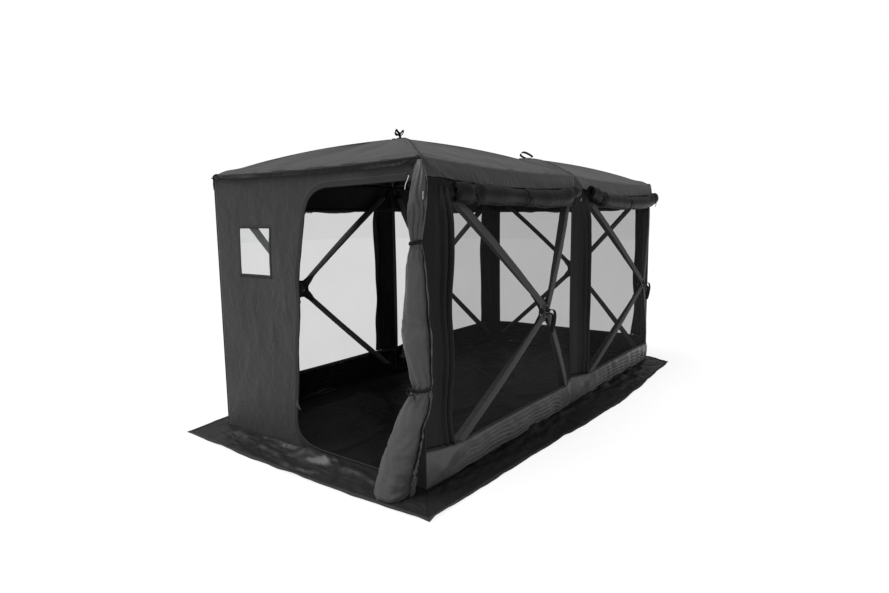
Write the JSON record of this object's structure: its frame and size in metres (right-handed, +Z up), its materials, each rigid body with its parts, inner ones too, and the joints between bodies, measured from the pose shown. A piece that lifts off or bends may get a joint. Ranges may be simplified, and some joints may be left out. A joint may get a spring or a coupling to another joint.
{
  "type": "pop-up screen shelter",
  "caption": "Pop-up hub shelter with screened walls, a flat door wall with rolled door and window, rolled covers, sewn floor and ground skirt; every hub panel pulls out and pushes in.",
  "frame": {"origin": "on the underside of the floor, at the middle of the footprint", "axes": "+Z up, +Y along the length away from the door wall, +X to the right for someone facing the door"},
  "size_m": [2.795, 4.7685, 2.3335],
  "materials": {
    "fibreglass_pole": "smooth black pultruded rod",
    "hub_hardware": "fine moulded grain",
    "webbing": "woven narrow tape",
    "mesh": "fine open insect mesh",
    "roof_cloth": "coated woven polyester, slight sheen",
    "wall_cloth": "coated woven polyester",
    "window_film": "clear film",
    "floor_cloth": "coated floor cloth, glossy and creased",
    "skirt_cloth": "coated cloth, wrinkled",
    "cover_cloth": "rolled coated cloth",
    "zip_metal": "black enamelled zinc"
  },
  "bodies": {
    "shell": {"corner_pockets": "webbing", "door_roll": "cover_cloth", "floor": "floor_cloth", "front_wall": "wall_cloth", "front_window": "window_film", "ground_skirt": "skirt_cloth", "kick_and_header_panels": "wall_cloth", "left_front_screen": "mesh", "left_rear_screen": "mesh", "rear_screen": "mesh", "right_front_screen": "mesh", "right_rear_screen": "mesh", "roll_ties": "webbing", "rolled_covers": "cover_cloth", "roof_front": "roof_cloth", "roof_rear": "roof_cloth", "wall_strips": "wall_cloth"},
    "right_front_hub": {"right_front_hub": "hub_hardware", "right_front_strap": "webbing"},
    "right_front_pole_upper_left": {"right_front_pole_upper_left": "fibreglass_pole"},
    "right_front_pole_upper_right": {"right_front_pole_upper_right": "fibreglass_pole"},
    "right_front_pole_lower_left": {"right_front_pole_lower_left": "fibreglass_pole"},
    "right_front_pole_lower_right": {"right_front_pole_lower_right": "fibreglass_pole"},
    "right_rear_hub": {"right_rear_hub": "hub_hardware", "right_rear_strap": "webbing"},
    "right_rear_pole_upper_left": {"right_rear_pole_upper_left": "fibreglass_pole"},
    "right_rear_pole_upper_right": {"right_rear_pole_upper_right": "fibreglass_pole"},
    "right_rear_pole_lower_left": {"right_rear_pole_lower_left": "fibreglass_pole"},
    "right_rear_pole_lower_right": {"right_rear_pole_lower_right": "fibreglass_pole"},
    "left_front_hub": {"left_front_hub": "hub_hardware", "left_front_strap": "webbing"},
    "left_front_pole_upper_left": {"left_front_pole_upper_left": "fibreglass_pole"},
    "left_front_pole_upper_right": {"left_front_pole_upper_right": "fibreglass_pole"},
    "left_front_pole_lower_left": {"left_front_pole_lower_left": "fibreglass_pole"},
    "left_front_pole_lower_right": {"left_front_pole_lower_right": "fibreglass_pole"},
    "left_rear_hub": {"left_rear_hub": "hub_hardware", "left_rear_strap": "webbing"},
    "left_rear_pole_upper_left": {"left_rear_pole_upper_left": "fibreglass_pole"},
    "left_rear_pole_upper_right": {"left_rear_pole_upper_right": "fibreglass_pole"},
    "left_rear_pole_lower_left": {"left_rear_pole_lower_left": "fibreglass_pole"},
    "left_rear_pole_lower_right": {"left_rear_pole_lower_right": "fibreglass_pole"},
    "rear_hub": {"rear_hub": "hub_hardware", "rear_strap": "webbing"},
    "rear_pole_upper_left": {"rear_pole_upper_left": "fibreglass_pole"},
    "rear_pole_upper_right": {"rear_pole_upper_right": "fibreglass_pole"},
    "rear_pole_lower_left": {"rear_pole_lower_left": "fibreglass_pole"},
    "rear_pole_lower_right": {"rear_pole_lower_right": "fibreglass_pole"},
    "roof_front_hub": {"roof_front_hub": "hub_hardware", "roof_front_strap": "webbing"},
    "roof_front_pole_rear_left": {"roof_front_pole_rear_left": "fibreglass_pole"},
    "roof_front_pole_rear_right": {"roof_front_pole_rear_right": "fibreglass_pole"},
    "roof_front_pole_front_left": {"roof_front_pole_front_left": "fibreglass_pole"},
    "roof_front_pole_front_right": {"roof_front_pole_front_right": "fibreglass_pole"},
    "roof_rear_hub": {"roof_rear_hub": "hub_hardware", "roof_rear_strap": "webbing"},
    "roof_rear_pole_rear_left": {"roof_rear_pole_rear_left": "fibreglass_pole"},
    "roof_rear_pole_rear_right": {"roof_rear_pole_rear_right": "fibreglass_pole"},
    "roof_rear_pole_front_left": {"roof_rear_pole_front_left": "fibreglass_pole"},
    "roof_rear_pole_front_right": {"roof_rear_pole_front_right": "fibreglass_pole"},
    "door_zip_slider": {"door_zip_slider": "zip_metal"}
  },
  "joints": [
    {"name": "right_front_hub_slide", "type": "slide", "parent": "shell", "child": "right_front_hub", "axis": [1, 0, 0], "range_m": [-0.59, 0]},
    {"name": "right_front_pole_hinge_upper_left", "type": "hinge", "parent": "right_front_hub", "child": "right_front_pole_upper_left", "pos_m": [1.295, -1.0522, 1.02654], "axis": [0, 0.6983, 0.7158], "range_deg": [0, 26.43]},
    {"name": "right_front_pole_hinge_upper_right", "type": "hinge", "parent": "right_front_hub", "child": "right_front_pole_upper_right", "pos_m": [1.295, -0.9978, 1.02654], "axis": [0, 0.6983, -0.7158], "range_deg": [0, 26.43]},
    {"name": "right_front_pole_hinge_lower_left", "type": "hinge", "parent": "right_front_hub", "child": "right_front_pole_lower_left", "pos_m": [1.295, -1.0522, 0.97346], "axis": [0, -0.6983, 0.7158], "range_deg": [0, 26.43]},
    {"name": "right_front_pole_hinge_lower_right", "type": "hinge", "parent": "right_front_hub", "child": "right_front_pole_lower_right", "pos_m": [1.295, -0.9978, 0.97346], "axis": [0, -0.6983, -0.7158], "range_deg": [0, 26.43]},
    {"name": "right_rear_hub_slide", "type": "slide", "parent": "shell", "child": "right_rear_hub", "axis": [1, 0, 0], "range_m": [-0.59, 0]},
    {"name": "right_rear_pole_hinge_upper_left", "type": "hinge", "parent": "right_rear_hub", "child": "right_rear_pole_upper_left", "pos_m": [1.295, 0.9978, 1.02654], "axis": [0, 0.6983, 0.7158], "range_deg": [0, 26.43]},
    {"name": "right_rear_pole_hinge_upper_right", "type": "hinge", "parent": "right_rear_hub", "child": "right_rear_pole_upper_right", "pos_m": [1.295, 1.0522, 1.02654], "axis": [0, 0.6983, -0.7158], "range_deg": [0, 26.43]},
    {"name": "right_rear_pole_hinge_lower_left", "type": "hinge", "parent": "right_rear_hub", "child": "right_rear_pole_lower_left", "pos_m": [1.295, 0.9978, 0.97346], "axis": [0, -0.6983, 0.7158], "range_deg": [0, 26.43]},
    {"name": "right_rear_pole_hinge_lower_right", "type": "hinge", "parent": "right_rear_hub", "child": "right_rear_pole_lower_right", "pos_m": [1.295, 1.0522, 0.97346], "axis": [0, -0.6983, -0.7158], "range_deg": [0, 26.43]},
    {"name": "left_front_hub_slide", "type": "slide", "parent": "shell", "child": "left_front_hub", "axis": [-1, 0, 0], "range_m": [-0.59, 0]},
    {"name": "left_front_pole_hinge_upper_left", "type": "hinge", "parent": "left_front_hub", "child": "left_front_pole_upper_left", "pos_m": [-1.295, -0.9978, 1.02654], "axis": [0, -0.6983, 0.7158], "range_deg": [0, 26.43]},
    {"name": "left_front_pole_hinge_upper_right", "type": "hinge", "parent": "left_front_hub", "child": "left_front_pole_upper_right", "pos_m": [-1.295, -1.0522, 1.02654], "axis": [0, -0.6983, -0.7158], "range_deg": [0, 26.43]},
    {"name": "left_front_pole_hinge_lower_left", "type": "hinge", "parent": "left_front_hub", "child": "left_front_pole_lower_left", "pos_m": [-1.295, -0.9978, 0.97346], "axis": [0, 0.6983, 0.7158], "range_deg": [0, 26.43]},
    {"name": "left_front_pole_hinge_lower_right", "type": "hinge", "parent": "left_front_hub", "child": "left_front_pole_lower_right", "pos_m": [-1.295, -1.0522, 0.97346], "axis": [0, 0.6983, -0.7158], "range_deg": [0, 26.43]},
    {"name": "left_rear_hub_slide", "type": "slide", "parent": "shell", "child": "left_rear_hub", "axis": [-1, 0, 0], "range_m": [-0.59, 0]},
    {"name": "left_rear_pole_hinge_upper_left", "type": "hinge", "parent": "left_rear_hub", "child": "left_rear_pole_upper_left", "pos_m": [-1.295, 1.0522, 1.02654], "axis": [0, -0.6983, 0.7158], "range_deg": [0, 26.43]},
    {"name": "left_rear_pole_hinge_upper_right", "type": "hinge", "parent": "left_rear_hub", "child": "left_rear_pole_upper_right", "pos_m": [-1.295, 0.9978, 1.02654], "axis": [0, -0.6983, -0.7158], "range_deg": [0, 26.43]},
    {"name": "left_rear_pole_hinge_lower_left", "type": "hinge", "parent": "left_rear_hub", "child": "left_rear_pole_lower_left", "pos_m": [-1.295, 1.0522, 0.97346], "axis": [0, 0.6983, 0.7158], "range_deg": [0, 26.43]},
    {"name": "left_rear_pole_hinge_lower_right", "type": "hinge", "parent": "left_rear_hub", "child": "left_rear_pole_lower_right", "pos_m": [-1.295, 0.9978, 0.97346], "axis": [0, 0.6983, -0.7158], "range_deg": [0, 26.43]},
    {"name": "rear_hub_slide", "type": "slide", "parent": "shell", "child": "rear_hub", "axis": [0, 1, 0], "range_m": [-0.59, 0]},
    {"name": "rear_pole_hinge_upper_left", "type": "hinge", "parent": "rear_hub", "child": "rear_pole_upper_left", "pos_m": [0.0272, 2.32, 1.02654], "axis": [-0.6983, 0, 0.7158], "range_deg": [0, 26.43]},
    {"name": "rear_pole_hinge_upper_right", "type": "hinge", "parent": "rear_hub", "child": "rear_pole_upper_right", "pos_m": [-0.0272, 2.32, 1.02654], "axis": [-0.6983, 0, -0.7158], "range_deg": [0, 26.43]},
    {"name": "rear_pole_hinge_lower_left", "type": "hinge", "parent": "rear_hub", "child": "rear_pole_lower_left", "pos_m": [0.0272, 2.32, 0.97346], "axis": [0.6983, 0, 0.7158], "range_deg": [0, 26.43]},
    {"name": "rear_pole_hinge_lower_right", "type": "hinge", "parent": "rear_hub", "child": "rear_pole_lower_right", "pos_m": [-0.0272, 2.32, 0.97346], "axis": [0.6983, 0, -0.7158], "range_deg": [0, 26.43]},
    {"name": "roof_front_hub_slide", "type": "slide", "parent": "shell", "child": "roof_front_hub", "axis": [0, 0, 1], "range_m": [-0.59, 0]},
    {"name": "roof_front_pole_hinge_rear_left", "type": "hinge", "parent": "roof_front_hub", "child": "roof_front_pole_rear_left", "pos_m": [-0.02687, -0.99813, 2.27], "axis": [0.7071, 0.7071, 0], "range_deg": [0, 26.09]},
    {"name": "roof_front_pole_hinge_rear_right", "type": "hinge", "parent": "roof_front_hub", "child": "roof_front_pole_rear_right", "pos_m": [0.02687, -0.99813, 2.27], "axis": [0.7071, -0.7071, 0], "range_deg": [0, 26.09]},
    {"name": "roof_front_pole_hinge_front_left", "type": "hinge", "parent": "roof_front_hub", "child": "roof_front_pole_front_left", "pos_m": [-0.02687, -1.05187, 2.27], "axis": [-0.7071, 0.7071, 0], "range_deg": [0, 26.09]},
    {"name": "roof_front_pole_hinge_front_right", "type": "hinge", "parent": "roof_front_hub", "child": "roof_front_pole_front_right", "pos_m": [0.02687, -1.05187, 2.27], "axis": [-0.7071, -0.7071, 0], "range_deg": [0, 26.09]},
    {"name": "roof_rear_hub_slide", "type": "slide", "parent": "shell", "child": "roof_rear_hub", "axis": [0, 0, 1], "range_m": [-0.59, 0]},
    {"name": "roof_rear_pole_hinge_rear_left", "type": "hinge", "parent": "roof_rear_hub", "child": "roof_rear_pole_rear_left", "pos_m": [-0.02687, 1.05187, 2.27], "axis": [0.7071, 0.7071, 0], "range_deg": [0, 26.09]},
    {"name": "roof_rear_pole_hinge_rear_right", "type": "hinge", "parent": "roof_rear_hub", "child": "roof_rear_pole_rear_right", "pos_m": [0.02687, 1.05187, 2.27], "axis": [0.7071, -0.7071, 0], "range_deg": [0, 26.09]},
    {"name": "roof_rear_pole_hinge_front_left", "type": "hinge", "parent": "roof_rear_hub", "child": "roof_rear_pole_front_left", "pos_m": [-0.02687, 0.99813, 2.27], "axis": [-0.7071, 0.7071, 0], "range_deg": [0, 26.09]},
    {"name": "roof_rear_pole_hinge_front_right", "type": "hinge", "parent": "roof_rear_hub", "child": "roof_rear_pole_front_right", "pos_m": [0.02687, 0.99813, 2.27], "axis": [-0.7071, -0.7071, 0], "range_deg": [0, 26.09]},
    {"name": "door_zip", "type": "slide", "parent": "shell", "child": "door_zip_slider", "axis": [-1, 0, 0], "range_m": [0, 0.8]}
  ],
  "couplings": [
    {"joint": "right_front_pole_hinge_upper_left", "follows": "right_front_hub_slide", "rad_per_m": -0.77604},
    {"joint": "right_front_pole_hinge_upper_right", "follows": "right_front_hub_slide", "rad_per_m": -0.77604},
    {"joint": "right_front_pole_hinge_lower_left", "follows": "right_front_hub_slide", "rad_per_m": -0.77604},
    {"joint": "right_front_pole_hinge_lower_right", "follows": "right_front_hub_slide", "rad_per_m": -0.77604},
    {"joint": "right_rear_pole_hinge_upper_left", "follows": "right_rear_hub_slide", "rad_per_m": -0.77604},
    {"joint": "right_rear_pole_hinge_upper_right", "follows": "right_rear_hub_slide", "rad_per_m": -0.77604},
    {"joint": "right_rear_pole_hinge_lower_left", "follows": "right_rear_hub_slide", "rad_per_m": -0.77604},
    {"joint": "right_rear_pole_hinge_lower_right", "follows": "right_rear_hub_slide", "rad_per_m": -0.77604},
    {"joint": "left_front_pole_hinge_upper_left", "follows": "left_front_hub_slide", "rad_per_m": -0.77604},
    {"joint": "left_front_pole_hinge_upper_right", "follows": "left_front_hub_slide", "rad_per_m": -0.77604},
    {"joint": "left_front_pole_hinge_lower_left", "follows": "left_front_hub_slide", "rad_per_m": -0.77604},
    {"joint": "left_front_pole_hinge_lower_right", "follows": "left_front_hub_slide", "rad_per_m": -0.77604},
    {"joint": "left_rear_pole_hinge_upper_left", "follows": "left_rear_hub_slide", "rad_per_m": -0.77604},
    {"joint": "left_rear_pole_hinge_upper_right", "follows": "left_rear_hub_slide", "rad_per_m": -0.77604},
    {"joint": "left_rear_pole_hinge_lower_left", "follows": "left_rear_hub_slide", "rad_per_m": -0.77604},
    {"joint": "left_rear_pole_hinge_lower_right", "follows": "left_rear_hub_slide", "rad_per_m": -0.77604},
    {"joint": "rear_pole_hinge_upper_left", "follows": "rear_hub_slide", "rad_per_m": -0.77604},
    {"joint": "rear_pole_hinge_upper_right", "follows": "rear_hub_slide", "rad_per_m": -0.77604},
    {"joint": "rear_pole_hinge_lower_left", "follows": "rear_hub_slide", "rad_per_m": -0.77604},
    {"joint": "rear_pole_hinge_lower_right", "follows": "rear_hub_slide", "rad_per_m": -0.77604},
    {"joint": "roof_front_pole_hinge_rear_left", "follows": "roof_front_hub_slide", "rad_per_m": -0.76578},
    {"joint": "roof_front_pole_hinge_rear_right", "follows": "roof_front_hub_slide", "rad_per_m": -0.76578},
    {"joint": "roof_front_pole_hinge_front_left", "follows": "roof_front_hub_slide", "rad_per_m": -0.76578},
    {"joint": "roof_front_pole_hinge_front_right", "follows": "roof_front_hub_slide", "rad_per_m": -0.76578},
    {"joint": "roof_rear_pole_hinge_rear_left", "follows": "roof_rear_hub_slide", "rad_per_m": -0.76578},
    {"joint": "roof_rear_pole_hinge_rear_right", "follows": "roof_rear_hub_slide", "rad_per_m": -0.76578},
    {"joint": "roof_rear_pole_hinge_front_left", "follows": "roof_rear_hub_slide", "rad_per_m": -0.76578},
    {"joint": "roof_rear_pole_hinge_front_right", "follows": "roof_rear_hub_slide", "rad_per_m": -0.76578}
  ]
}
